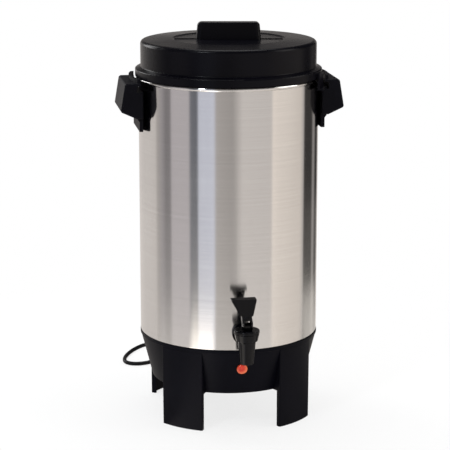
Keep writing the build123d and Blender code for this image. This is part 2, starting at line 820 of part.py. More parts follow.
# silicone cup: a cone that closes on the outlet's edge, a neck and a wiper disc
cone_r = outlet_r - 1.4 * wiper_gap
with BuildPart() as seat_cup:
    with BuildSketch(tap_section):
        with BuildLine():
            FilletPolyline(
                (0, seat_z - 1.5),
                (cone_r - 1.5, seat_z - 1.5),
                (cone_r + 2.6, seat_z + 2.6),
                (cone_r + 2.6, seat_z + 4.5),
                (5.2, seat_z + 6),
                (5.2, cup_bore_z + 0.5),
                (chamber_r - wiper_gap, cup_bore_z + 1.5),
                (chamber_r - wiper_gap, cup_bore_z + 3),
                (stem_r, cup_bore_z + 3),
                (stem_r, seat_z + 2),
                (0, seat_z + 2),
                radius=[0.6, 0.5, 0.5, 1, 1, 0.3, 0.3, 0, 0],
            )
            Line((0, seat_z + 2), (0, seat_z - 1.5))
        make_face()
    revolve(axis=tap_axis)

head_low_z = bonnet_top_z + 1
pin_plane = Plane(origin=(0, tap_y, pin_z), x_dir=(0, 1, 0), z_dir=(1, 0, 0))
with BuildPart() as tap_stem:
    with BuildSketch(Plane.XY.offset(seat_z + 2)):
        with Locations((0, tap_y)):
            Circle(stem_r)
    extrude(amount=head_low_z - seat_z - 2)
    with BuildSketch(pin_plane.offset(-stem_head_width / 2)):
        Circle(stem_head_r)
        with Locations((0, (head_low_z - pin_z) / 2)):
            Rectangle(2 * stem_head_r, pin_z - head_low_z)
        Circle(pin_r + running_gap, mode=Mode.SUBTRACT)
    extrude(amount=stem_head_width)

ear_x = stem_head_width / 2 + fixed_gap
lever_x = ear_x + ear_thickness
with BuildPart() as lever_pin:
    with BuildSketch(pin_plane.offset(-lever_x)):
        Circle(pin_r)
    extrude(amount=2 * lever_x)


def cam_point(angle):
    """Point of the lever's heel that bears on the bonnet at a tilt, from the pin."""
    height = cam_height + cam_rise * angle
    return (
        -height * math.sin(angle) - cam_rise * math.cos(angle),
        -height * math.cos(angle) + cam_rise * math.sin(angle),
    )


front_y = cam_point(math.radians(lever_angle + 4))[0]
bar_y = front_y + 3.6
lever_up = lever_top_z - pin_z
web_up = lever_web_z - pin_z
wing_low_z = lever_web_z + 2

# front plate that widens upwards with hollow sides, and the bar on top
with BuildPart() as lever_wings:
    with BuildSketch(tap_section):
        with BuildLine():
            Line((-lever_x, wing_low_z), (lever_x, wing_low_z))
            ThreePointArc(
                (lever_x, wing_low_z),
                (lever_x + 2.6, wing_low_z + 15),
                (lever_top_width / 2, lever_top_z - 2),
            )
            Line((lever_top_width / 2, lever_top_z - 2), (lever_top_width / 2, lever_top_z))
            Line((lever_top_width / 2, lever_top_z), (-lever_top_width / 2, lever_top_z))
            Line((-lever_top_width / 2, lever_top_z), (-lever_top_width / 2, lever_top_z - 2))
            ThreePointArc(
                (-lever_top_width / 2, lever_top_z - 2),
                (-lever_x - 2.6, wing_low_z + 15),
                (-lever_x, wing_low_z),
            )
        make_face()
    extrude(amount=40, both=True)
    with BuildSketch(pin_plane.offset(-lever_top_width)):
        with BuildLine():
            Polyline(
                (front_y - 0.9, 6),
                (bar_y, lever_up),
                (bar_y + lever_bar_depth, lever_up),
                (bar_y + lever_bar_depth, lever_up - lever_bar),
                (bar_y - 0.4 + lever_plate, lever_up - lever_bar),
                (front_y - 0.6 + lever_plate, 6),
                close=True,
            )
        make_face()
    extrude(amount=2 * lever_top_width, mode=Mode.INTERSECT)

with BuildPart() as tap_lever:
    # column with the cam heel
    with BuildSketch(pin_plane.offset(-lever_x)):
        with BuildLine():
            heel = Spline([cam_point(math.radians(a)) for a in range(0, int(lever_angle) + 5, 6)])
            FilletPolyline(
                heel @ 1,
                (front_y - 0.9, 6),
                (bar_y, lever_up),
                (bar_y + lever_bar_depth, lever_up),
                (bar_y + lever_bar_depth, lever_up - lever_bar),
                (1.5, lever_up - lever_bar - 5),
                (stem_head_r, 7),
                (stem_head_r, -cam_height),
                heel @ 0,
                radius=[6, 0.8, 1, 1, 3, 6, 2],
            )
        make_face()
    extrude(amount=2 * lever_x)
    add(lever_wings.part)
    # gap between the cheeks, open at the back
    with BuildSketch(pin_plane.offset(-ear_x)):
        with BuildLine():
            Polyline(
                (front_y - 3, -cam_height - 2),
                (front_y - 3, web_up),
                (front_y + lever_plate - 0.6, web_up + 2),
                (front_y + lever_plate + 3, lever_up - lever_bar),
                (front_y + 2 * lever_bar_depth, lever_up - lever_bar),
                (front_y + 2 * lever_bar_depth, -cam_height - 2),
                close=True,
            )
        make_face()
    extrude(amount=2 * ear_x, mode=Mode.SUBTRACT)
    with BuildSketch(pin_plane.offset(-lever_x)):
        Circle(pin_r)
    extrude(amount=2 * lever_x, mode=Mode.SUBTRACT)

# ================================================================ percolator
neck_r = tube_r + bell_wall
seat_plate_z = bell_z + valve_seat_height
with BuildPart() as pump_foot:
    with BuildSketch(Plane.XZ):
        with BuildLine():
            FilletPolyline(
                (bell_r, bell_z),
                (bell_r, bell_z + bell_skirt),
                (bell_r - 8, bell_z + bell_height - 4),
                (neck_r, bell_z + bell_height),
                (neck_r, bell_z + bell_height + bell_neck_height),
                radius=[1.5, 3, 2],
            )
            offset(amount=bell_wall, side=Side.LEFT)
        make_face()
    revolve(axis=Axis.Z)
    # seat of the pump valve, with its holes
    with BuildSketch(Plane.XY.offset(seat_plate_z - bell_wall)):
        Circle(bell_r - 2.6)
        with PolarLocations(7, 6):
            Circle(2, mode=Mode.SUBTRACT)
    extrude(amount=bell_wall)
    # slots that let the water in
    with BuildSketch(Plane.XY.offset(bell_z)):
        with PolarLocations(bell_r, bell_slots):
            Rectangle(8, 4)
    extrude(amount=2.4, mode=Mode.SUBTRACT)

valve_z = seat_plate_z + fixed_gap / 3
with BuildPart() as pump_valve:
    with BuildSketch(Plane.XY.offset(valve_z)):
        Circle(valve_r)
    extrude(amount=valve_thickness)

tube_low_z = valve_z + valve_thickness + valve_travel + 0.7
with BuildPart() as pump_tube:
    with BuildSketch(Plane.XY.offset(tube_low_z)):
        Circle(tube_r)
        Circle(tube_r - tube_wall, mode=Mode.SUBTRACT)
    extrude(amount=tube_top_z - tube_low_z)
    with BuildSketch(Plane.XY.offset(collar_z)):
        Circle(collar_r)
        Circle(tube_r - tube_wall, mode=Mode.SUBTRACT)
    extrude(amount=collar_height)

sleeve_inner_r = tube_r + slip_gap
with BuildPart() as coffee_basket:
    with BuildSketch(Plane.XZ):
        with BuildLine():
            FilletPolyline(
                (sleeve_inner_r, basket_z),
                (basket_r, basket_z),
                (basket_r, basket_top_z - rim_roll_r),
                radius=[basket_corner_r],
            )
            offset(amount=basket_wall, side=Side.LEFT)
        make_face()
        with Locations((basket_r, basket_top_z - rim_roll_r)):
            Circle(rim_roll_r)
        with Locations((sleeve_inner_r, basket_z)):
            Rectangle(basket_wall, basket_sleeve_height, align=(Align.MIN, Align.MIN))
    revolve(axis=Axis.Z)
    with BuildSketch(Plane.XY.offset(basket_z)):
        for ring_r, count in zip(basket_hole_circles, basket_hole_counts):
            with PolarLocations(ring_r, count):
                Circle(basket_hole_r)
    extrude(amount=basket_wall, mode=Mode.SUBTRACT)

spreader_floor_z = basket_top_z - spreader_lip
spreader_pan_r = basket_r - rim_roll_r - 2
with BuildPart() as basket_spreader:
    with BuildSketch(Plane.XZ):
        with BuildLine():
            FilletPolyline(
                (sleeve_inner_r + 2, spreader_floor_z),
                (spreader_pan_r, spreader_floor_z),
                (spreader_pan_r, basket_top_z + fixed_gap),
                (basket_r + 1, basket_top_z + fixed_gap),
                radius=[2.5, 1],
            )
            offset(amount=basket_wall, side=Side.LEFT)
        make_face()
    revolve(axis=Axis.Z)
    with BuildSketch(Plane.XY.offset(spreader_floor_z)):
        for ring_r, count in zip(spreader_hole_circles, spreader_hole_counts):
            with PolarLocations(ring_r, count):
                Circle(spreader_hole_r)
    extrude(amount=basket_wall, mode=Mode.SUBTRACT)

# ================================================================ heaters
with BuildPart() as well_heater:
    with BuildSketch(Plane.XY.offset(well_z + 1)):
        Circle(well_r + fixed_gap + well_heater_wall)
        Circle(well_r + fixed_gap, mode=Mode.SUBTRACT)
    extrude(amount=well_heater_height)
    fillet(well_heater.edges().group_by(Axis.Z)[0], radius=1)

ring_z = tank_floor_z - ring_heater_tube_r - fixed_gap
ring_ends = (90 - ring_heater_gap_deg / 2, 90 + ring_heater_gap_deg / 2)
with BuildPart() as ring_heater:
    with BuildSketch(Plane.XZ.rotated((0, 0, ring_ends[1]))):
        with Locations((ring_heater_r, ring_z)):
            Circle(ring_heater_tube_r)
    revolve(axis=Axis.Z, revolution_arc=360 - ring_heater_gap_deg)
    with BuildSketch(Plane.XY.offset(ring_z)):
        with Locations(*on_circle(ring_heater_r, (ring_ends[0] - 3, ring_ends[1] + 3))):
            Circle(terminal_r)
    extrude(amount=-terminal_length)

thermostat_at = on_circle(flange_inner_r - thermostat_inset, [thermostat_deg])[0]
tab_low_z = tank_floor_z - fixed_gap - thermostat_height - tab_length
with BuildPart() as thermostat:
    with BuildSketch(Plane.XY.offset(tank_floor_z - fixed_gap - thermostat_height)):
        with Locations(thermostat_at):
            Circle(thermostat_r)
    extrude(amount=thermostat_height)
    with BuildSketch(Plane.XY.offset(tab_low_z)):
        with Locations(thermostat_at):
            with Locations((-4, 0), (4, 0)):
                Rectangle(1, 6)
    extrude(amount=tab_length)

fuse_at = on_circle(flange_inner_r - fuse_inset, [fuse_deg])[0]
with BuildPart() as thermal_fuse:
    with BuildSketch(Plane.XZ.offset(-fuse_at[1] - fuse_length / 2)):
        with Locations((fuse_at[0], tank_floor_z - fuse_r - fixed_gap)):
            Circle(fuse_r)
    extrude(amount=fuse_length)

block_at = (0, flange_inner_r - block_inset)
with BuildPart() as terminal_block:
    with BuildSketch(Plane.XY.offset(tank_floor_z - fixed_gap - block_size[2])):
        with Locations(block_at):
            Rectangle(block_size[0], block_size[1])
    extrude(amount=block_size[2])
    with BuildSketch(Plane.XY.offset(tank_floor_z - fixed_gap - block_size[2])):
        with Locations(block_at):
            with GridLocations(9, 8, 3, 2):
                Circle(2)
    extrude(amount=3, mode=Mode.SUBTRACT)


def bend_radii(points):
    """Bend at each corner of a run, as wide as its straight runs allow."""
    radii = []
    for before, corner, after in zip(points, points[1:], points[2:]):
        arriving = Vector(*corner) - Vector(*before)
        leaving = Vector(*after) - Vector(*corner)
        half_turn = math.radians(arriving.get_angle(leaving)) / 2
        radii.append(0.45 * min(arriving.length, leaving.length) / math.tan(half_turn))
    return radii


def tube_along(points, section_r):
    """Round tube of straight runs and tangent bends."""
    with BuildPart() as tube:
        with BuildLine():
            run = FilletPolyline(*points, radius=bend_radii(points))
        with BuildSketch(Plane(origin=run @ 0, z_dir=run % 0)):
            Circle(section_r)
        sweep()
    return tube.part


block_low_z = tank_floor_z - fixed_gap - block_size[2]
block_back_y = block_at[1] + 4
block_front_y = block_at[1] - 4
wire_in_y = base_bottom_r - 5
lamp_back_y = -base_radius(lamp_z) + (lamp_barrel_length + 2.3) * math.cos(lamp_tilt)
ring_tab = on_circle(ring_heater_r, [ring_ends[0] - 3])[0]
tab_x, tab_y = thermostat_at
wire_circle_r = flange_inner_r - 8
wire_runs = [
    # cord to terminal block
    [
        (0.45 * x, wire_in_y, cord_exit_z + lift),
        (0.7 * x, block_back_y + 12, cord_exit_z + 2 * lift),
        (x, block_back_y + 2, cord_exit_z + 6 + 2 * lift),
        (x, block_back_y, block_low_z),
    ]
    for x, lift in ((-9, 0), (0, 1), (9, 0))
]
wire_runs.append(
    # terminal block to thermostat
    [
        (9, block_front_y, block_low_z),
        (12, block_front_y - 2, block_low_z - 12),
        (0.45 * tab_x + 7, tab_y + 14, block_low_z - 16),
        (tab_x - 6, tab_y + 2, tab_low_z - 11),
        (tab_x - 4, tab_y, tab_low_z - 0.3),
    ]
)
wire_runs.append(
    # terminal block to ring heater
    [
        (0, block_front_y, block_low_z),
        (2, block_front_y - 4, block_low_z - 10),
        (0.7 * ring_tab[0], ring_tab[1] + 6, block_low_z - 14),
        (ring_tab[0], ring_tab[1] + 0.8, block_low_z - 10),
        (ring_tab[0] - 0.4, ring_tab[1], ring_z - terminal_length - 0.5),
    ]
)
wire_runs.append(
    # terminal block to pilot lamp, round the side
    [
        (-9, block_front_y, block_low_z),
        (-14, block_front_y - 6, block_low_z - 14),
        (*on_circle(wire_circle_r - 9, [142])[0], cord_exit_z + 2),
        (-wire_circle_r, 0, cord_exit_z),
        (*on_circle(wire_circle_r, [225])[0], cord_exit_z + 4),
        (*on_circle(wire_circle_r + 7, [254])[0], lamp_z - 5),
        (-3, lamp_back_y + 1, lamp_z + 3.6),
    ]
)
with BuildPart() as inner_wires:
    add([tube_along(run, wire_r) for run in wire_runs])

# ================================================================ cord
flange_back_y = base_radius(cord_exit_z - relief_flange_r) - base_wall - 2 - fixed_gap
relief_tip_y = flange_back_y + 2 + relief_length
relief_plane = Plane(origin=(0, 0, cord_exit_z), x_dir=(0, 1, 0), z_dir=(1, 0, 0))
with BuildPart() as strain_relief:
    with BuildSketch(relief_plane):
        with BuildLine():
            FilletPolyline(
                (flange_back_y, 0),
                (flange_back_y, relief_flange_r),
                (flange_back_y + 2, relief_flange_r),
                (flange_back_y + 2, relief_root_r),
                (flange_back_y + 12, relief_root_r),
                (relief_tip_y, relief_tip_r),
                (relief_tip_y, 0),
                radius=[0.5, 0.5, 0.3, 2, 0.8],
            )
            Line((relief_tip_y, 0), (flange_back_y, 0))
        make_face()
    revolve(axis=Axis((0, 0, cord_exit_z), (0, 1, 0)))

cord_lie_z = cord_r + 0.1
plug_axis_z = plug_height / 2 + 0.1
cord_points = [
    (0, relief_tip_y, cord_exit_z),
    (0, relief_tip_y + 19, cord_exit_z),
    (9, relief_tip_y + 42, cord_exit_z - 17),
    (24, relief_tip_y + 63, cord_exit_z - 48),
    (41, relief_tip_y + 87, cord_lie_z),
    (66, relief_tip_y + 120, cord_lie_z),
    (68, relief_tip_y + 144, cord_lie_z),
    (46, relief_tip_y + 160, cord_lie_z),
    (15, relief_tip_y + 158, cord_lie_z),
    (-20, relief_tip_y + 161, cord_lie_z),
    (-55, relief_tip_y + 172, cord_lie_z),
    (-86, relief_tip_y + 165, cord_lie_z),
    (-106, relief_tip_y + 141, cord_lie_z),
    (-119.5, relief_tip_y + 115.5, cord_lie_z),
    (-127.5, relief_tip_y + 90, cord_lie_z),
    (-126.5, relief_tip_y + 70.5, cord_lie_z),
    (-113, relief_tip_y + 61, cord_lie_z),
    (-94, relief_tip_y + 64, cord_lie_z),
    (-79, relief_tip_y + 68, 6),
    (-64, relief_tip_y + 70, plug_axis_z),
    (-50, relief_tip_y + 70, plug_axis_z),
]
cord_tube = tube_along(cord_points, cord_r)
with BuildPart() as cord:
    add(cord_tube)

plug_shoulder = 15
plug_plane = Plane(origin=cord_points[-1], x_dir=(0, 1, 0), z_dir=(1, 0, 0))
with BuildPart() as plug:
    with BuildSketch(plug_plane):
        RectangleRounded(plug_neck, plug_neck, plug_neck * 0.45)
    with BuildSketch(plug_plane.offset(plug_shoulder)):
        RectangleRounded(plug_width, plug_height, 8)
    loft()
    with BuildSketch(plug_plane.offset(plug_shoulder)):
        RectangleRounded(plug_width, plug_height, 8)
    extrude(amount=plug_length - plug_shoulder)
    fillet(plug.edges().group_by(Axis.X)[-1], radius=2)

blade_up = 4.9
with BuildPart() as plug_blades:
    with BuildSketch(plug_plane.offset(plug_length)):
        with Locations((-blade_spacing / 2, blade_up), (blade_spacing / 2, blade_up)):
            Rectangle(blade_thickness, blade_width)
    extrude(amount=blade_length)
    with BuildSketch(plug_plane.offset(plug_length)):
        with Locations((0, -ground_pin_drop)):
            Circle(ground_pin_r)
    extrude(amount=blade_length + 3)

# ================================================================ write the pieces
os.makedirs("parts", exist_ok=True)
pieces = {
    "tank": tank,
    "base": base,
    "base_nuts": base_nuts,
    "bottom_cover": bottom_cover,
    "cover_screws": cover_screws,
    "lamp_lens": lamp_lens,
    "lamp_bulb": lamp_bulb,
    "lamp_clip": lamp_clip,
    "handle_right": handle_right,
    "handle_left": handle_left,
    "handle_washers": handle_washers,
    "handle_screws": handle_screws,
    "lid": lid,
    "faucet_body": faucet_body,
    "faucet_gasket_outer": faucet_gasket_outer,
    "faucet_gasket_inner": faucet_gasket_inner,
    "faucet_nut": faucet_nut,
    "faucet_bonnet": faucet_bonnet,
    "seat_cup": seat_cup,
    "tap_stem": tap_stem,
    "lever_pin": lever_pin,
    "tap_lever": tap_lever,
    "pump_foot": pump_foot,
    "pump_valve": pump_valve,
    "pump_tube": pump_tube,
    "coffee_basket": coffee_basket,
    "basket_spreader": basket_spreader,
    "well_heater": well_heater,
    "ring_heater": ring_heater,
    "thermostat": thermostat,
    "thermal_fuse": thermal_fuse,
    "terminal_block": terminal_block,
    "inner_wires": inner_wires,
    "strain_relief": strain_relief,
    "cord": cord,
    "plug": plug,
    "plug_blades": plug_blades,
}
for name, piece in pieces.items():
    piece.part.label = name
    export_step(piece.part, f"parts/{name}.step")
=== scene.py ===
import math

import bmesh
import bpy
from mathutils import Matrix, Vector


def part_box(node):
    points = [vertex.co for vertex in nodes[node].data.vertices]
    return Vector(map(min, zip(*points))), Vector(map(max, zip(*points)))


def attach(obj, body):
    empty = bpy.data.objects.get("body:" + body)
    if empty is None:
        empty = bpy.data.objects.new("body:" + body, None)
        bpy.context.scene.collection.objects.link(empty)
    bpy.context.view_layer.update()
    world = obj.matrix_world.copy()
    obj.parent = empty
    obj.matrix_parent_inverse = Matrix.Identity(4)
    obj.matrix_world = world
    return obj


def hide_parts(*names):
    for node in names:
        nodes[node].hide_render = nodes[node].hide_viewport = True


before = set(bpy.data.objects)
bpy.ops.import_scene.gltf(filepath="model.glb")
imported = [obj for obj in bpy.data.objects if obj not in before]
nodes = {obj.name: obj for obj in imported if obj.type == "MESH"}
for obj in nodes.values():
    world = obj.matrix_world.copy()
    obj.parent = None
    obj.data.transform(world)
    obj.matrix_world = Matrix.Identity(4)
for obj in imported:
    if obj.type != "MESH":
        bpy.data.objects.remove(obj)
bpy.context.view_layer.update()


def placed(name, data):
    """A new object in the scene, at the origin."""
    made = bpy.data.objects.new(name, data)
    bpy.context.scene.collection.objects.link(made)
    return made


# ------------------------------------------------------------------ camera
heading, look_down = -9, 12.81              # degrees: turned to the right, and down from level

camera_data = bpy.data.cameras.new("camera")
camera_data.sensor_width = 36
camera_data.lens = 145.04
camera_data.clip_end = 20
camera = placed("camera", camera_data)
camera.location = (-0.3957, -2.4675, 0.833)
camera.rotation_euler = (math.radians(90 - look_down), 0, math.radians(heading))
camera_azimuth = math.atan2(camera.location.y, camera.location.x)
bpy.context.scene.camera = camera
bpy.context.scene.view_settings.view_transform = "Standard"


# ------------------------------------------------------------------ steps of a node tree
def fill(tree, node, sockets):
    """Sets or links a node's sockets; the values of a list all go to one socket."""
    for name, value in sockets.items():
        for one in value if isinstance(value, list) else [value]:
            if isinstance(one, bpy.types.NodeSocket):
                tree.links.new(one, node.inputs[name])
            else:
                node.inputs[name].default_value = one


def step(tree, kind, sockets=None, **settings):
    """The outputs of a new node, with its settings made and its sockets filled."""
    node = tree.nodes.new(kind)
    for name, value in settings.items():
        setattr(node, name, value)
    fill(tree, node, sockets or {})
    return node.outputs


def calc(tree, operation, first, second=0.0):
    return step(tree, "ShaderNodeMath", {0: first, 1: second}, operation=operation)[0]


def times(tree, size, factor):
    return calc(tree, "MULTIPLY", size, factor)


def vector(tree, x=0.0, y=0.0, z=0.0):
    return step(tree, "ShaderNodeCombineXYZ", {0: x, 1: y, 2: z})[0]


def vector_calc(tree, operation, output, first, second=(0, 0, 0)):
    return step(tree, "ShaderNodeVectorMath", {0: first, 1: second}, operation=operation)[output]


def ranged(tree, value, low, high, start=0.3, stop=0.7, ease="LINEAR"):
    """A value brought from start..stop, where most of a noise lies, to low..high."""
    sockets = {"Value": value, "From Min": start, "From Max": stop, "To Min": low, "To Max": high}
    return step(tree, "ShaderNodeMapRange", sockets, interpolation_type=ease)["Result"]


def blend(tree, share, first, second):
    """A number that is the first at share 0 and the second at share 1."""
    return step(tree, "ShaderNodeMix", {0: share, 2: first, 3: second})[0]


def blended_colour(tree, share, first, second):
    sockets = {0: share, 6: (*first, 1), 7: (*second, 1)}
    return step(tree, "ShaderNodeMix", sockets, data_type="RGBA")[2]


def blended_shader(tree, share, first, second):
    return step(tree, "ShaderNodeMixShader", {0: share, 1: first, 2: second})["Shader"]


def ramp(tree, value, stops):
    """The colour at a value, between stops of (place, colour)."""
    node = tree.nodes.new("ShaderNodeValToRGB")
    elements = node.color_ramp.elements
    while len(elements) < len(stops):
        elements.new(0.5)
    for element, (place, colour) in zip(elements, stops):
        element.position = place
        element.color = (*colour, 1)
    tree.links.new(value, node.inputs["Fac"])
    return node.outputs["Color"]


# ------------------------------------------------------------------ kinds of finish
def material_with(name, colour, roughness, metallic=0.0):
    """A new material, its node tree and its Principled shader."""
    made = bpy.data.materials.new(name)
    made.use_nodes = True
    shader = made.node_tree.nodes["Principled BSDF"]
    look = {"Base Color": (*colour, 1), "Roughness": roughness, "Metallic": metallic}
    fill(made.node_tree, shader, look)
    return made, made.node_tree, shader


def pattern_place(tree, scale=(1, 1, 1), shift=(0, 0, 0)):
    """Object coordinates, stretched and then shifted."""
    sockets = {"Vector": step(tree, "ShaderNodeTexCoord")["Object"], "Scale": scale, "Location": shift}
    return step(tree, "ShaderNodeMapping", sockets)["Vector"]


def noise(tree, place, scale, detail=3.0):
    sockets = {"Vector": place, "Scale": scale, "Detail": detail, "Roughness": 0.6}
    return step(tree, "ShaderNodeTexNoise", sockets)["Fac"]


def two_tones(tree, value, dark, light, start=0.3, stop=0.7):
    return ramp(tree, value, [(start, dark), (stop, light)])


def bumps(tree, height, depth, strength):
    """A normal that follows a height, of a depth in metres."""
    sockets = {"Height": height, "Distance": depth, "Strength": strength}
    return step(tree, "ShaderNodeBump", sockets)["Normal"]


def brushed_metal(name, dark, light, rough, grain, anisotropy):
    """Sheet metal brushed round the axis: fine level scratches that smear what it reflects upright."""
    made, tree, shader = material_with(name, light, rough[0], 1.0)
    scratches = noise(tree, pattern_place(tree, (5, 5, grain)), 1.0)
    clouds = noise(tree, pattern_place(tree, (1, 1, 0.6)), 9.0, 2.0)
    cloudy = ranged(tree, clouds, -0.02, 0.03)
    look = {
        "Base Color": two_tones(tree, scratches, dark, light),
        "Roughness": calc(tree, "ADD", ranged(tree, scratches, *rough), cloudy),
        "Normal": bumps(tree, scratches, 0.000015, 0.12),
        "Anisotropic": anisotropy,
        "Anisotropic Rotation": 0.25,
        "Tangent": step(tree, "ShaderNodeTangent", direction_type="RADIAL", axis="Z")["Tangent"],
    }
    fill(tree, shader, look)
    return made


def moulded_plastic(name, dark, light, rough, grain=900, depth=0.00001, specular=0.5):
    """Moulded plastic or rubber: a fine even grain in the surface and slow changes of sheen."""
    made, tree, shader = material_with(name, light, rough[0])
    fine = noise(tree, pattern_place(tree), grain, 2.0)
    slow = noise(tree, pattern_place(tree), 14.0)
    look = {
        "Base Color": two_tones(tree, slow, dark, light),
        "Roughness": ranged(tree, slow, *rough),
        "Normal": bumps(tree, fine, depth, 0.3),
        "Specular IOR Level": specular,
    }
    fill(tree, shader, look)
    return made


def plain_metal(name, dark, light, rough, stains_per_m=300):
    """Pressed, turned or plated metal with faint stains."""
    made, tree, shader = material_with(name, light, rough[0], 1.0)
    stains = noise(tree, pattern_place(tree), stains_per_m, 4.0)
    look = {
        "Base Color": two_tones(tree, stains, dark, light),
        "Roughness": ranged(tree, stains, *rough),
        "Normal": bumps(tree, stains, 0.00003, 0.2),
    }
    fill(tree, shader, look)
    return made


def lit_lens(name):
    """Lens with a faceted back: deep red in the middle, lit orange round its edge."""
    middle_x, middle_z = -0.0014, 0.0908
    dull_r, lit_r = 0.004, 0.0086
    made, tree, shader = material_with(name, (0.78, 0.055, 0.02), 0.12)
    facets = step(tree, "ShaderNodeTexVoronoi", {"Vector": pattern_place(tree), "Scale": 420})["Distance"]
    off_middle = pattern_place(tree, (1, 0, 1), (-middle_x, 0, -middle_z))
    radius = vector_calc(tree, "LENGTH", "Value", off_middle)
    look = {
        "Base Color": two_tones(tree, facets, (0.6, 0.04, 0.012), (0.4, 0.015, 0.006), 0.1, 0.7),
        "Normal": bumps(tree, facets, 0.0004, 0.5),
        "Emission Color": two_tones(tree, radius, (0.5, 0.02, 0.008), (1.0, 0.36, 0.13), dull_r, lit_r),
        "Emission Strength": 0.4,
        "Coat Weight": 0.25,
    }
    fill(tree, shader, look)
    return made


def blown_glass(name):
    """Thin glass of a neon bulb, with slight waves."""
    made, tree, shader = material_with(name, (1.0, 0.75, 0.55), 0.08)
    waves = noise(tree, pattern_place(tree), 400)
    fill(tree, shader, {"Normal": bumps(tree, waves, 0.00002, 0.3), "Transmission Weight": 0.85})
    return made


# ------------------------------------------------------------------ finishes
tank_aluminium = brushed_metal(
    "tank_aluminium", (0.72, 0.71, 0.70), (0.80, 0.79, 0.78), rough=(0.12, 0.15), grain=2600, anisotropy=0.92
)
pump_aluminium = plain_metal(
    "pump_aluminium", (0.66, 0.66, 0.67), (0.8, 0.8, 0.81), rough=(0.28, 0.38), stains_per_m=60
)
cast_aluminium = plain_metal(
    "cast_aluminium", (0.34, 0.34, 0.34), (0.5, 0.5, 0.49), rough=(0.5, 0.65), stains_per_m=200
)
heated_sheath = plain_metal(
    "heated_sheath", (0.13, 0.11, 0.1), (0.24, 0.22, 0.21), rough=(0.4, 0.55), stains_per_m=120
)
zinc_plate = plain_metal("zinc_plate", (0.5, 0.5, 0.5), (0.66, 0.66, 0.65), rough=(0.25, 0.4))
spring_steel = plain_metal("spring_steel", (0.3, 0.3, 0.31), (0.42, 0.42, 0.43), rough=(0.3, 0.4))
blade_brass = plain_metal("blade_brass", (0.55, 0.44, 0.2), (0.7, 0.58, 0.32), rough=(0.25, 0.35))

base_black = moulded_plastic(
    "base_black", (0.0022, 0.0022, 0.0048), (0.0034, 0.0034, 0.007), rough=(0.4, 0.48), specular=0.07
)
handle_black = moulded_plastic(
    "handle_black", (0.003, 0.0029, 0.0052), (0.0046, 0.0044, 0.0072), rough=(0.46, 0.54), specular=0.075
)
lid_black = moulded_plastic(
    "lid_black", (0.0019, 0.0018, 0.0034), (0.003, 0.0028, 0.005), rough=(0.24, 0.3), specular=0.12
)
tap_black = moulded_plastic(
    "tap_black", (0.0017, 0.0016, 0.0025), (0.0025, 0.0025, 0.004), rough=(0.1, 0.18), grain=500, specular=0.2
)
cord_black = moulded_plastic(
    "cord_black",
    (0.003, 0.003, 0.004),
    (0.005, 0.005, 0.006),
    rough=(0.38, 0.46),
    depth=0.00002,
    specular=0.2,
)
plug_black = moulded_plastic(
    "plug_black",
    (0.004, 0.004, 0.005),
    (0.007, 0.007, 0.008),
    rough=(0.4, 0.5),
    grain=800,
    depth=0.00002,
    specular=0.3,
)
cover_grey = moulded_plastic(
    "cover_grey", (0.2, 0.2, 0.2), (0.25, 0.25, 0.25), rough=(0.45, 0.55), grain=1200
)
gasket_rubber = moulded_plastic(
    "gasket_rubber", (0.035, 0.035, 0.035), (0.05, 0.05, 0.05), rough=(0.6, 0.75), grain=700, depth=0.00003
)
silicone_white = moulded_plastic(
    "silicone_white", (0.55, 0.53, 0.48), (0.62, 0.6, 0.55), rough=(0.4, 0.5), grain=600, depth=0.00002
)
nylon_natural = moulded_plastic(
    "nylon_natural", (0.5, 0.48, 0.42), (0.58, 0.56, 0.5), rough=(0.4, 0.5), grain=600, depth=0.00002
)
block_cream = moulded_plastic(
    "block_cream", (0.55, 0.5, 0.38), (0.62, 0.58, 0.46), rough=(0.35, 0.45), grain=600, depth=0.00002
)
wire_sleeve = moulded_plastic(
    "wire_sleeve", (0.42, 0.4, 0.36), (0.56, 0.54, 0.48), rough=(0.6, 0.7), grain=1500, depth=0.00006
)

# The solids that stay. What replaces the others brings its own finish.
for finish, node_names in (
    (tank_aluminium, ["tank"]),
    (pump_aluminium, ["pump_foot", "pump_valve", "pump_tube", "coffee_basket", "basket_spreader"]),
    (pump_aluminium, ["thermostat"]),
    (cast_aluminium, ["well_heater", "thermal_fuse"]),
    (heated_sheath, ["ring_heater"]),
    (zinc_plate, ["base_nuts", "handle_washers", "lever_pin"]),
    (spring_steel, ["lamp_clip"]),
    (blade_brass, ["plug_blades"]),
    (base_black, ["base"]),
    (handle_black, ["handle_right", "handle_left"]),
    (lid_black, ["lid"]),
    (tap_black, ["faucet_body", "faucet_bonnet", "tap_stem"]),
    (plug_black, ["plug"]),
    (cover_grey, ["bottom_cover"]),
    (gasket_rubber, ["faucet_gasket_outer", "faucet_gasket_inner"]),
    (silicone_white, ["seat_cup"]),
    (nylon_natural, ["faucet_nut"]),
    (block_cream, ["terminal_block"]),
    (wire_sleeve, ["inner_wires"]),
    (lit_lens("lamp_orange"), ["lamp_lens"]),
    (blown_glass("bulb_glass"), ["lamp_bulb"]),
):
    for node_name in node_names:
        nodes[node_name].data.materials.clear()
        nodes[node_name].data.materials.append(finish)


# ------------------------------------------------------------------ tools for the pieces
def mesh_of(bm, name):
    """The mesh that a bmesh holds, which is freed."""
    mesh = bpy.data.meshes.new(name)
    bm.to_mesh(mesh)
    bm.free()
    return mesh


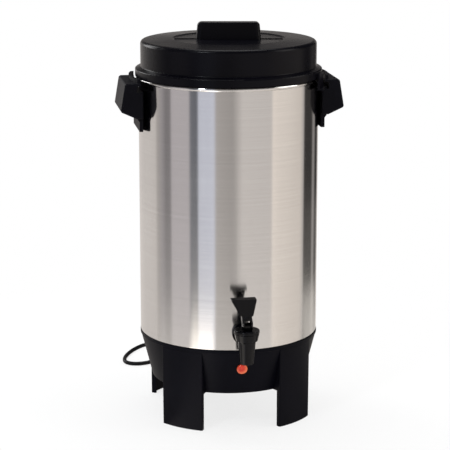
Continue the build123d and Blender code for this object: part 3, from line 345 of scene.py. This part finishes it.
def turned(profile, centre_z, segments=48):
    """Lathe work round a line along Y, from (y, radius) points."""
    bm = bmesh.new()
    rings = []
    for y, radius in profile:
        if radius == 0:
            rings.append([bm.verts.new((0, y, centre_z))])
            continue
        turns = [2 * math.pi * i / segments for i in range(segments)]
        places = [(radius * math.cos(turn), y, centre_z + radius * math.sin(turn)) for turn in turns]
        rings.append([bm.verts.new(place) for place in places])
    for near, far in zip(rings, rings[1:]):
        for i in range(segments):
            j = (i + 1) % segments
            corners = [near[i % len(near)], near[j % len(near)], far[j % len(far)], far[i % len(far)]]
            bm.faces.new(list(dict.fromkeys(corners)))
    bmesh.ops.recalc_face_normals(bm, faces=bm.faces)
    return bm


def spots(name, places, facings=None):
    """A mesh of single points, each with the direction it faces."""
    mesh = bpy.data.meshes.new(name)
    mesh.from_pydata(places, [], [])
    if facings:
        held = mesh.attributes.new("facing", "FLOAT_VECTOR", "POINT")
        for value, facing in zip(held.data, facings):
            value.vector = facing
    return mesh


def node_tree(name, sizes):
    """A modifier's tree with an input for each size, the sockets of its inputs and those of its result."""
    tree = bpy.data.node_groups.new(name, "GeometryNodeTree")
    tree.is_modifier = True
    tree.interface.new_socket(name="Geometry", in_out="INPUT", socket_type="NodeSocketGeometry")
    tree.interface.new_socket(name="Geometry", in_out="OUTPUT", socket_type="NodeSocketGeometry")
    for size_name, kind in sizes.items():
        tree.interface.new_socket(name=size_name, in_out="INPUT", socket_type="NodeSocket" + kind)
    return tree, tree.nodes.new("NodeGroupInput").outputs, tree.nodes.new("NodeGroupOutput").inputs


def tree_ends(tree, geometry, given, out, smooth=False):
    """The last steps of a tree: real geometry in its finish."""
    real = step(tree, "GeometryNodeRealizeInstances", {"Geometry": geometry})["Geometry"]
    if smooth:
        real = step(tree, "GeometryNodeSetShadeSmooth", {"Geometry": real})["Geometry"]
    painting = {"Geometry": real, "Material": given["Finish"]}
    painted = step(tree, "GeometryNodeSetMaterial", painting)["Geometry"]
    tree.links.new(painted, out["Geometry"])


def grown(name, start, tree, sizes):
    """What a tree makes of a starting mesh, as an object with a plain mesh."""
    made = placed(name, start)
    modifier = made.modifiers.new("grow", "NODES")
    modifier.node_group = tree
    for item in tree.interface.items_tree:
        if item.in_out == "INPUT" and item.name in sizes:
            modifier[item.identifier] = sizes[item.name]
    graph = bpy.context.evaluated_depsgraph_get()
    result = bpy.data.meshes.new_from_object(made.evaluated_get(graph), depsgraph=graph)
    made.modifiers.remove(modifier)
    made.data = result
    return made


def raised(tree, geometry, height):
    """A shape moved up."""
    sockets = {"Geometry": geometry, "Translation": vector(tree, z=height)}
    return step(tree, "GeometryNodeTransform", sockets)["Geometry"]


def cylinder(tree, sides, radius, height):
    sockets = {"Vertices": sides, "Radius": radius, "Depth": height}
    return step(tree, "GeometryNodeMeshCylinder", sockets)["Mesh"]


def circle(tree, points, radius):
    sockets = {"Resolution": points, "Radius": radius}
    return step(tree, "GeometryNodeCurvePrimitiveCircle", sockets)["Curve"]


def united(tree, shapes):
    sockets = {"Mesh 2": shapes}
    return step(tree, "GeometryNodeMeshBoolean", sockets, operation="UNION", solver="EXACT")["Mesh"]


def cut_from(tree, shape, cuts):
    sockets = {"Mesh 1": shape, "Mesh 2": cuts}
    return step(tree, "GeometryNodeMeshBoolean", sockets, operation="DIFFERENCE", solver="EXACT")["Mesh"]


# ------------------------------------------------------------------ screws
def screw_tree():
    """Pan-head screw with a cross recess and a thread, on each point, head towards its facing."""
    sizes = {
        "Head Radius": "Float",
        "Head Height": "Float",
        "Shank Radius": "Float",
        "Shank Length": "Float",
        "Thread Pitch": "Float",
        "Seed": "Int",
        "Finish": "Material",
    }
    tree, given, out = node_tree("cross_head_screws", sizes)
    head_r, head_h = given["Head Radius"], given["Head Height"]
    shank_r, shank_l, pitch = given["Shank Radius"], given["Shank Length"], given["Thread Pitch"]

    rim = raised(tree, cylinder(tree, 32, head_r, times(tree, head_h, 0.5)), times(tree, head_h, 0.25))
    crown_sizes = {
        "Vertices": 32,
        "Side Segments": 2,
        "Radius Top": times(tree, head_r, 0.72),
        "Radius Bottom": times(tree, head_r, 0.985),
        "Depth": times(tree, head_h, 0.52),
    }
    crown = step(tree, "GeometryNodeMeshCone", crown_sizes)["Mesh"]
    crown = raised(tree, crown, times(tree, head_h, 0.48))
    slot_wide, slot_long = times(tree, head_r, 0.26), times(tree, head_r, 1.05)
    slot_deep = times(tree, head_h, 1.1)
    slots = []
    for x, y in ((slot_long, slot_wide), (slot_wide, slot_long)):
        bar = step(tree, "GeometryNodeMeshCube", {"Size": vector(tree, x, y, slot_deep)})["Mesh"]
        slots.append(raised(tree, bar, head_h))
    head = cut_from(tree, united(tree, [rim, crown]), slots)

    shank = cylinder(tree, 24, times(tree, shank_r, 0.84), shank_l)
    shank = raised(tree, shank, times(tree, shank_l, -0.5))
    thread_l = times(tree, shank_l, 0.94)
    thread_r = times(tree, shank_r, 0.85)
    helix_sizes = {
        "Resolution": 20,
        "Rotations": calc(tree, "DIVIDE", thread_l, pitch),
        "Start Radius": thread_r,
        "End Radius": thread_r,
        "Height": times(tree, thread_l, -1.0),
    }
    helix = step(tree, "GeometryNodeCurveSpiral", helix_sizes)["Curve"]
    ridge = circle(tree, 4, times(tree, pitch, 0.34))
    swept = {"Curve": helix, "Profile Curve": ridge, "Fill Caps": True}
    thread = step(tree, "GeometryNodeCurveToMesh", swept)["Mesh"]
    screw = step(tree, "GeometryNodeJoinGeometry", {"Geometry": [head, shank, thread]})["Geometry"]

    facing = step(tree, "GeometryNodeInputNamedAttribute", {"Name": "facing"}, data_type="FLOAT_VECTOR")
    aimed = step(tree, "FunctionNodeAlignRotationToVector", {"Vector": facing["Attribute"]}, axis="Z")
    copies = {"Points": given["Geometry"], "Instance": screw, "Rotation": aimed["Rotation"]}
    set_in = step(tree, "GeometryNodeInstanceOnPoints", copies)["Instances"]
    spin = step(tree, "FunctionNodeRandomValue", {"Max": math.pi, "Seed": given["Seed"]}, data_type="FLOAT")
    turning = {"Instances": set_in, "Rotation": vector(tree, z=spin["Value"]), "Local Space": True}
    driven = step(tree, "GeometryNodeRotateInstances", turning)["Instances"]
    tree_ends(tree, driven, given, out)
    return tree


screws = screw_tree()


def set_of_screws(name, places, facings, head, shank, pitch, seed):
    """Screws on their places; head and shank are each a radius and a height or length."""
    sizes = {
        "Head Radius": head[0],
        "Head Height": head[1],
        "Shank Radius": shank[0],
        "Shank Length": shank[1],
        "Thread Pitch": pitch,
        "Seed": seed,
        "Finish": zinc_plate,
    }
    return grown(name, spots(name, places, facings), screws, sizes)


post_circle_r = 0.095
post_turns = [math.radians(degrees) for degrees in (0, 120, 240)]
cover_low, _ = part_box("bottom_cover")
base_screws = set_of_screws(
    "base_screws",
    places=[
        (post_circle_r * math.cos(turn), post_circle_r * math.sin(turn), cover_low.z) for turn in post_turns
    ],
    facings=[(0, 0, -1) for _ in post_turns],
    head=(0.004, 0.0022),
    shank=(0.002, 0.011),
    pitch=0.0014,
    seed=4,
)
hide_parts("cover_screws")
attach(base_screws, "urn")

grip_screw_x = 0.1222
grip_screw_heights = (0.434, 0.450)
grip_screws = set_of_screws(
    "grip_screws",
    places=[(side * grip_screw_x, 0, z) for side in (1, -1) for z in grip_screw_heights],
    facings=[(-side, 0, 0) for side in (1, -1) for _ in grip_screw_heights],
    head=(0.0045, 0.0026),
    shank=(0.0025, 0.010),
    pitch=0.0016,
    seed=9,
)
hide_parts("handle_screws")
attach(grip_screws, "urn")

# ------------------------------------------------------------------ cord's sleeve
cord_exit_z = 0.070


def relief_tree():
    """Rings that shrink along a line, joined to the sleeve they stand on."""
    sizes = {
        "Ring Count": "Int",
        "First Radius": "Float",
        "Last Radius": "Float",
        "Ring Thickness": "Float",
        "First Place": "Vector",
        "Last Place": "Vector",
        "Finish": "Material",
    }
    tree, given, out = node_tree("sleeve_rings", sizes)
    count = given["Ring Count"]
    ends = {"Count": count, "Start Location": given["First Place"], "Offset": given["Last Place"]}
    line = step(tree, "GeometryNodeMeshLine", ends, mode="END_POINTS")["Mesh"]
    ring = circle(tree, 40, given["First Radius"])
    section = circle(tree, 10, times(tree, given["Ring Thickness"], 0.5))
    hoop = step(tree, "GeometryNodeCurveToMesh", {"Curve": ring, "Profile Curve": section})["Mesh"]
    upright = {"Geometry": hoop, "Rotation": (math.radians(90), 0, 0)}
    hoop = step(tree, "GeometryNodeTransform", upright)["Geometry"]
    last_scale = calc(tree, "DIVIDE", given["Last Radius"], given["First Radius"])
    index = step(tree, "GeometryNodeInputIndex")["Index"]
    scale = ranged(tree, index, 1.0, last_scale, 0.0, calc(tree, "SUBTRACT", count, 1))
    copies = {"Points": line, "Instance": hoop, "Scale": vector(tree, scale, scale, scale)}
    hoops = step(tree, "GeometryNodeInstanceOnPoints", copies)["Instances"]
    both = step(tree, "GeometryNodeJoinGeometry", {"Geometry": [given["Geometry"], hoops]})["Geometry"]
    tree_ends(tree, both, given, out, smooth=True)
    return tree


# From inside the base outwards: flange, barrel through the wall, cone, and the bead at its tip.
sleeve_outline = [
    (0.1061, 0),
    (0.1061, 0.0090),
    (0.1064, 0.0095),
    (0.1078, 0.0095),
    (0.1081, 0.0092),
    (0.1081, 0.0070),
    (0.1181, 0.0069),
    (0.1190, 0.0062),
    (0.1400, 0.0038),
    (0.1402, 0.0043),
    (0.1418, 0.0043),
    (0.1421, 0.0040),
    (0.1421, 0),
]
ring_sizes = {
    "Ring Count": 8,
    "First Radius": 0.0062,
    "Last Radius": 0.0040,
    "Ring Thickness": 0.0014,
    "First Place": (0, 0.1205, cord_exit_z),
    "Last Place": (0, 0.1382, cord_exit_z),
    "Finish": cord_black,
}
sleeve_mesh = mesh_of(turned(sleeve_outline, cord_exit_z), "cord_sleeve")
cord_sleeve = grown("cord_sleeve", sleeve_mesh, relief_tree(), ring_sizes)
cord_sleeve.data.set_sharp_from_angle(angle=math.radians(40))
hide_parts("strain_relief")
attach(cord_sleeve, "urn")


# ------------------------------------------------------------------ plug's grips
def grip_tree():
    """A row of upright bars on each point, each bar thinner towards its ends."""
    sizes = {
        "Bar Count": "Int",
        "Bar Length": "Float",
        "Bar Radius": "Float",
        "Bar Pitch": "Float",
        "Finish": "Material",
    }
    tree, given, out = node_tree("grip_bars", sizes)
    half = times(tree, given["Bar Length"], 0.5)
    ends = {"Start": vector(tree, z=times(tree, half, -1.0)), "End": vector(tree, z=half)}
    spine = step(tree, "GeometryNodeCurvePrimitiveLine", ends)["Curve"]
    spine = step(tree, "GeometryNodeResampleCurve", {"Curve": spine, "Count": 9})["Curve"]
    along = step(tree, "GeometryNodeSplineParameter")["Factor"]
    off_middle = calc(tree, "ABSOLUTE", calc(tree, "SUBTRACT", times(tree, along, 2.0), 1.0))
    taper = calc(tree, "SUBTRACT", 1.0, times(tree, calc(tree, "POWER", off_middle, 6.0), 0.7))
    section = circle(tree, 10, given["Bar Radius"])
    swept = {"Curve": spine, "Profile Curve": section, "Scale": taper, "Fill Caps": True}
    bar = step(tree, "GeometryNodeCurveToMesh", swept)["Mesh"]
    spacing = {"Count": given["Bar Count"], "Offset": vector(tree, given["Bar Pitch"])}
    row = step(tree, "GeometryNodeMeshLine", spacing)["Mesh"]
    bars = step(tree, "GeometryNodeInstanceOnPoints", {"Points": row, "Instance": bar})["Instances"]
    both_rows = {"Points": given["Geometry"], "Instance": bars}
    rows = step(tree, "GeometryNodeInstanceOnPoints", both_rows)["Instances"]
    tree_ends(tree, rows, given, out, smooth=True)
    return tree


first_bar_x = -0.0365
plug_low, plug_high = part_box("plug")
plug_axis_z = (plug_low.z + plug_high.z) / 2
plug_grips = grown(
    "plug_grips",
    spots("plug_grips", [(first_bar_x, face_y, plug_axis_z) for face_y in (plug_low.y, plug_high.y)]),
    grip_tree(),
    {"Bar Count": 6, "Bar Length": 0.012, "Bar Radius": 0.0007, "Bar Pitch": 0.0028, "Finish": plug_black},
)
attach(plug_grips, "urn")

# ------------------------------------------------------------------ cord
cord_thickness = 0.006
cord_lie_z = 0.0031
cord_route = [
    (0, 0.14213, cord_exit_z),
    (0, 0.16113, cord_exit_z),
    (0.009, 0.18413, 0.053),
    (0.024, 0.20513, 0.022),
    (0.041, 0.22913, cord_lie_z),
    (0.066, 0.26213, cord_lie_z),
    (0.068, 0.28613, cord_lie_z),
    (0.046, 0.30213, cord_lie_z),
    (0.015, 0.30013, cord_lie_z),
    (-0.020, 0.30313, cord_lie_z),
    (-0.055, 0.31413, cord_lie_z),
    (-0.086, 0.30713, cord_lie_z),
    (-0.106, 0.28313, cord_lie_z),
    (-0.1195, 0.25763, cord_lie_z),
    (-0.1275, 0.23213, cord_lie_z),
    (-0.1265, 0.21263, cord_lie_z),
    (-0.113, 0.20313, cord_lie_z),
    (-0.094, 0.20613, cord_lie_z),
    (-0.079, 0.21013, 0.006),
    (-0.064, 0.21213, plug_axis_z),
    (-0.050, 0.21213, plug_axis_z),
]
cord_curve = bpy.data.curves.new("power_cord", "CURVE")
cord_curve.dimensions = "3D"
cord_curve.resolution_u = 12
cord_line = cord_curve.splines.new("NURBS")
cord_line.points.add(len(cord_route) - 1)
for point, place in zip(cord_line.points, cord_route):
    point.co = (*place, 1)
cord_line.order_u = 3
cord_line.use_endpoint_u = True
cord_curve.bevel_depth = cord_thickness / 2
cord_curve.bevel_resolution = 6
cord_curve.use_fill_caps = True
cord_curve.materials.append(cord_black)
power_cord = placed("power_cord", cord_curve)
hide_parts("cord")
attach(power_cord, "urn")


# ------------------------------------------------------------------ tap lever
def merged_copy(node):
    """A welded copy of a solid's mesh, its flat parts in as few faces as they need."""
    bm = bmesh.new()
    bm.from_mesh(nodes[node].data)
    bmesh.ops.remove_doubles(bm, verts=bm.verts, dist=2e-6)
    bmesh.ops.dissolve_limit(bm, angle_limit=math.radians(1), verts=bm.verts, edges=bm.edges)
    bmesh.ops.triangulate(bm, faces=[face for face in bm.faces if len(face.verts) > 4])
    return bm


def circle_through(first, second, third):
    """Centre and radius of the circle through three points."""
    (ax, ay), (bx, by), (cx, cy) = first, second, third
    d = 2 * (ax * (by - cy) + bx * (cy - ay) + cx * (ay - by))
    a2, b2, c2 = ax * ax + ay * ay, bx * bx + by * by, cx * cx + cy * cy
    ux = (a2 * (by - cy) + b2 * (cy - ay) + c2 * (ay - by)) / d
    uy = (a2 * (cx - bx) + b2 * (ax - cx) + c2 * (bx - ax)) / d
    return ux, uy, math.hypot(ax - ux, ay - uy)


def shaped_lever():
    """The solid lever with straight wing sides in place of its arcs, leaning to one side at the top."""
    pin_low, pin_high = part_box("lever_pin")
    pin_z = (pin_low.z + pin_high.z) / 2
    cheek_x = pin_high.x                    # outer face of each cheek, where the pin ends
    plate_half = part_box("tap_lever")[1].x   # half the plate's full width
    wing_low, wing_top = 0.0105, 0.036      # heights above the pin between which the plate widens
    arc_middle = (0.0092, 0.0255)           # a point on the solid's wing arc
    lean = 0.0046                           # how far the top is set over
    lean_low, lean_top = 0.006, 0.036       # heights above the pin between which it leans
    in_wing = cheek_x + 0.0001
    arc_x, arc_z, arc_r = circle_through((cheek_x, wing_low), arc_middle, (plate_half, wing_top))
    bm = merged_copy("tap_lever")
    for vert in bm.verts:
        x, up = vert.co.x, vert.co.z - pin_z
        if abs(x) > in_wing and wing_low < up <= wing_top:
            arc_half = arc_x - math.sqrt(max(arc_r**2 - (up - arc_z) ** 2, 0))
            straight_half = cheek_x + (up - wing_low) / (wing_top - wing_low) * (plate_half - cheek_x)
            x = math.copysign(abs(x) * straight_half / arc_half, x)
        rise = min(max((up - lean_low) / (lean_top - lean_low), 0), 1)
        vert.co.x = x - lean * rise
    mesh = mesh_of(bm, "tap_handle")
    mesh.materials.append(tap_black)
    mesh.shade_smooth()
    mesh.set_sharp_from_angle(angle=math.radians(40))
    return placed("tap_handle", mesh)


tap_handle = shaped_lever()
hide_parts("tap_lever")
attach(tap_handle, "lever")

# ------------------------------------------------------------------ floor
floor_colour = (0.92, 0.92, 0.92)
floor_in_metal = (0.88, 0.83, 0.77)         # the metal picks up a warmer floor
pool_colour = (1.0, 0.93, 0.83)

disc = bmesh.new()
bmesh.ops.create_circle(disc, cap_ends=True, segments=96, radius=1.5)
floor = placed("floor", mesh_of(disc, "floor"))

floor_pale, floor_tree, floor_shader = material_with("floor_pale", floor_colour, 0.7)
floor.data.materials.append(floor_pale)
floor_place = pattern_place(floor_tree)
distance = vector_calc(floor_tree, "LENGTH", "Value", floor_place)
outward = vector_calc(floor_tree, "NORMALIZE", "Vector", floor_place)
floor_rays = step(floor_tree, "ShaderNodeLightPath")


def thinning(near, far, start, stop):
    """A share that goes from near to far between two distances from the urn."""
    return ranged(floor_tree, distance, near, far, start, stop, "SMOOTHSTEP")


def wedge(middle, half_wide, edge):
    """1 within an angle of a direction from the urn, fading to 0; angles from the camera's side."""
    angle = camera_azimuth + math.radians(middle)
    towards = (math.cos(angle), math.sin(angle), 0)
    lined = vector_calc(floor_tree, "DOT_PRODUCT", "Value", outward, towards)
    outer = math.cos(math.radians(half_wide + edge))
    inner = math.cos(math.radians(half_wide - edge))
    return ranged(floor_tree, lined, 0, 1, outer, inner, "SMOOTHSTEP")


def chosen(ray, when, otherwise):
    """One value for a kind of ray, another for the rest."""
    return blend(floor_tree, floor_rays[ray], otherwise, when)


# The share of each kind of ray that goes through the floor. Near the urn, where the shadow falls, the floor
# is there, and further out it thins to the white surround. What the metal picks up thins more at the sides,
# so that the bands of light and shade there run on down.
in_metal = thinning(near=0.45, far=0.9, start=0.28, stop=1.0)
for side, side_share in (
    (wedge(-135, 42, 12), 0.93),
    (wedge(82, 24, 10), 0.88),
    (wedge(122, 18, 10), thinning(near=0.42, far=0.93, start=0.68, stop=0.84)),
):
    in_metal = blend(floor_tree, side, in_metal, side_share)
to_the_eye = thinning(near=0.78, far=1.0, start=0.2, stop=0.8)
for_light = thinning(near=0.0, far=1.0, start=0.5, stop=1.3)
let_through = chosen("Is Camera Ray", to_the_eye, chosen("Is Glossy Ray", in_metal, for_light))

floor_tone = blended_colour(floor_tree, floor_rays["Is Glossy Ray"], floor_colour, floor_in_metal)
fill(floor_tree, floor_shader, {"Base Color": floor_tone, "Specular IOR Level": 0.1})
see_through = step(floor_tree, "ShaderNodeBsdfTransparent")["BSDF"]
floor_seen = blended_shader(floor_tree, let_through, floor_shader.outputs["BSDF"], see_through)

# A pool of light in front of the urn, which shows only low down in the metal.
pool = times(floor_tree, wedge(-30, 13, 4), thinning(near=1.5, far=0.0, start=0.4, stop=0.78))
pool_light = {"Color": (*pool_colour, 1), "Strength": chosen("Is Glossy Ray", pool, 0.0)}
glow = step(floor_tree, "ShaderNodeEmission", pool_light)["Emission"]
floor_all = step(floor_tree, "ShaderNodeAddShader", {0: floor_seen, 1: glow})["Shader"]
fill(floor_tree, floor_tree.nodes["Material Output"], {"Surface": floor_all})

# ------------------------------------------------------------------ lamps
urn_middle = Vector((0, 0, 0.3))


def softbox(name, azimuth, height, distance, width, tall, power, tint=(1, 1, 1)):
    """Lamp at an angle to the camera's direction (left is negative), aimed at the urn's middle."""
    angle = camera_azimuth + math.radians(azimuth)
    place = Vector((distance * math.cos(angle), distance * math.sin(angle), height))
    light = bpy.data.lights.new(name, "AREA")
    light.shape = "RECTANGLE"
    light.size = width
    light.size_y = tall
    light.energy = power
    light.color = tint
    made = placed(name, light)
    made.location = place
    made.rotation_euler = (urn_middle - place).to_track_quat("-Z", "Y").to_euler()


cool_tint, warm_tint = (0.9, 0.95, 1.0), (1.0, 0.97, 0.93)
softbox("strip_left", azimuth=-35, height=1.9, distance=2.2, width=0.2, tall=1.0, power=16, tint=cool_tint)
softbox("softbox_side", azimuth=-128, height=1.2, distance=2.4, width=1.0, tall=1.4, power=20)
softbox("softbox_right", azimuth=80, height=1.4, distance=2.4, width=1.2, tall=1.4, power=16, tint=warm_tint)
softbox("softbox_top", azimuth=180, height=2.6, distance=0.5, width=1.6, tall=1.6, power=28)

# ------------------------------------------------------------------ world
# White for the eye, even light for matt surfaces, and bands of light and shade round the urn for the metal.
# Each stop of the bands has its angle from the camera's side, its level and its tint.
neutral = (1.06, 0.99, 0.945)
rosy = (1.04, 0.97, 0.995)
cool = (0.94, 0.965, 1.1)
warm = (1.1, 0.995, 0.905)
band_stops = [
    (-180, 0.66, neutral),
    (-146, 0.62, neutral),
    (-138, 0.60, neutral),
    (-118, 0.61, neutral),
    (-108, 0.60, neutral),
    (-103, 0.42, neutral),
    (-94, 0.34, rosy),
    (-87, 0.22, rosy),
    (-80, 0.24, rosy),
    (-77, 0.50, rosy),
    (-52, 0.50, rosy),
    (-49, 0.19, cool),
    (-40, 0.15, cool),
    (-38, 0.65, cool),
    (-28, 0.66, cool),
    (-19, 0.72, cool),
    (-15, 0.44, neutral),
    (5, 0.38, neutral),
    (18, 0.65, neutral),
    (56, 0.62, neutral),
    (59, 0.83, warm),
    (70, 0.74, warm),
    (90, 0.68, warm),
    (105, 0.66, warm),
    (112, 0.46, neutral),
    (114, 0.04, neutral),
    (134, 0.04, neutral),
    (139, 0.28, neutral),
    (144, 0.24, neutral),
    (148, 0.04, neutral),
    (158, 0.04, neutral),
    (164, 0.62, neutral),
]
matt_light = 0.55
upper_start, upper_end, upper_light = 0.0, 0.22, 0.16  # the bands fade between these heights of the sky

studio = bpy.data.worlds.new("studio")
bpy.context.scene.world = studio
studio.use_nodes = True
sky = studio.node_tree
sky.nodes.clear()
looking = {"Vector": step(sky, "ShaderNodeTexCoord")["Generated"], "Rotation": (0, 0, -camera_azimuth)}
from_camera = step(sky, "ShaderNodeMapping", looking)["Vector"]
direction = step(sky, "ShaderNodeSeparateXYZ", {"Vector": from_camera})
around = calc(sky, "ARCTAN2", direction["Y"], direction["X"])
ramp_stops = [
    ((azimuth + 180) / 360, [level * part for part in tint]) for azimuth, level, tint in band_stops
]
bands = ramp(sky, ranged(sky, around, 0, 1, -math.pi, math.pi), ramp_stops)
band_light = ranged(sky, direction["Z"], 1.0, upper_light, upper_start, upper_end, "SMOOTHSTEP")


def backdrop_light(colour, strength):
    return step(sky, "ShaderNodeBackground", {"Color": colour, "Strength": strength})["Background"]


white = (1, 1, 1, 1)
rays = step(sky, "ShaderNodeLightPath")
seen = calc(sky, "MAXIMUM", rays["Is Camera Ray"], rays["Is Transmission Ray"])
lighting = blended_shader(
    sky, rays["Is Glossy Ray"], backdrop_light(white, matt_light), backdrop_light(bands, band_light)
)
surround = blended_shader(sky, seen, lighting, backdrop_light(white, 1.0))
step(sky, "ShaderNodeOutputWorld", {"Surface": surround})
